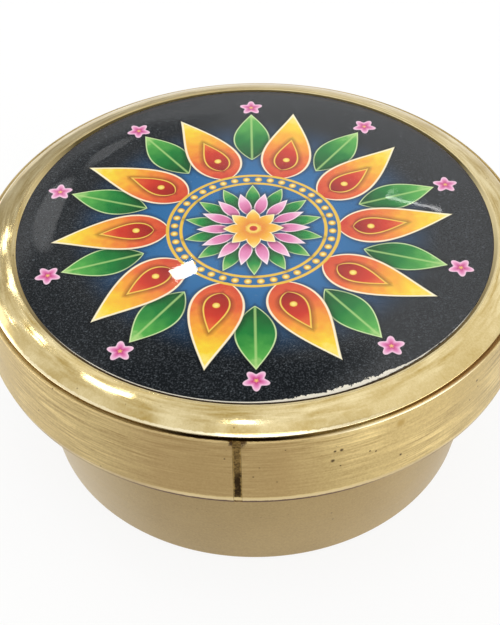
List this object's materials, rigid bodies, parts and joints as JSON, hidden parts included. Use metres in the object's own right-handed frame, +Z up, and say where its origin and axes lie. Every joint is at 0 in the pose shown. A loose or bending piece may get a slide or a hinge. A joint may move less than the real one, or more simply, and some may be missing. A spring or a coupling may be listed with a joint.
{
  "type": "kumkum box",
  "caption": "Round brass box for kumkum powder: a tapering cup under an overhanging slip-on lid, whose bezel frames a printed picture sealed under clear resin.",
  "frame": {"origin": "on the table, under the middle of the cup", "axes": "+Z up along the box's axis, -Y towards the viewer of the picture, close to the band's seam"},
  "size_m": [0.05, 0.05, 0.0224],
  "materials": {
    "cup_brass": "satin, turned, a little dull",
    "lid_brass": "satin, fine turning lines around the band",
    "bezel_brass": "polished",
    "braze": "dark, rough filler",
    "solder": "dull soft solder",
    "adhesive": "dull",
    "print": null,
    "clear_resin": "clear, glossy"
  },
  "bodies": {
    "base": {"base_cup": "cup_brass"},
    "lid": {"lid_band": "lid_brass", "lid_seam_braze": "braze", "lid_plate": "lid_brass", "lid_solder_fillet": "solder", "lid_bezel": "bezel_brass", "picture_adhesive": "adhesive", "picture_print": "print", "resin_cover": "clear_resin"}
  },
  "joints": [
    {"name": "lid_lift", "type": "slide", "parent": "base", "child": "lid", "axis": [0, 0, 1], "range_m": [0, 0.03]}
  ]
}
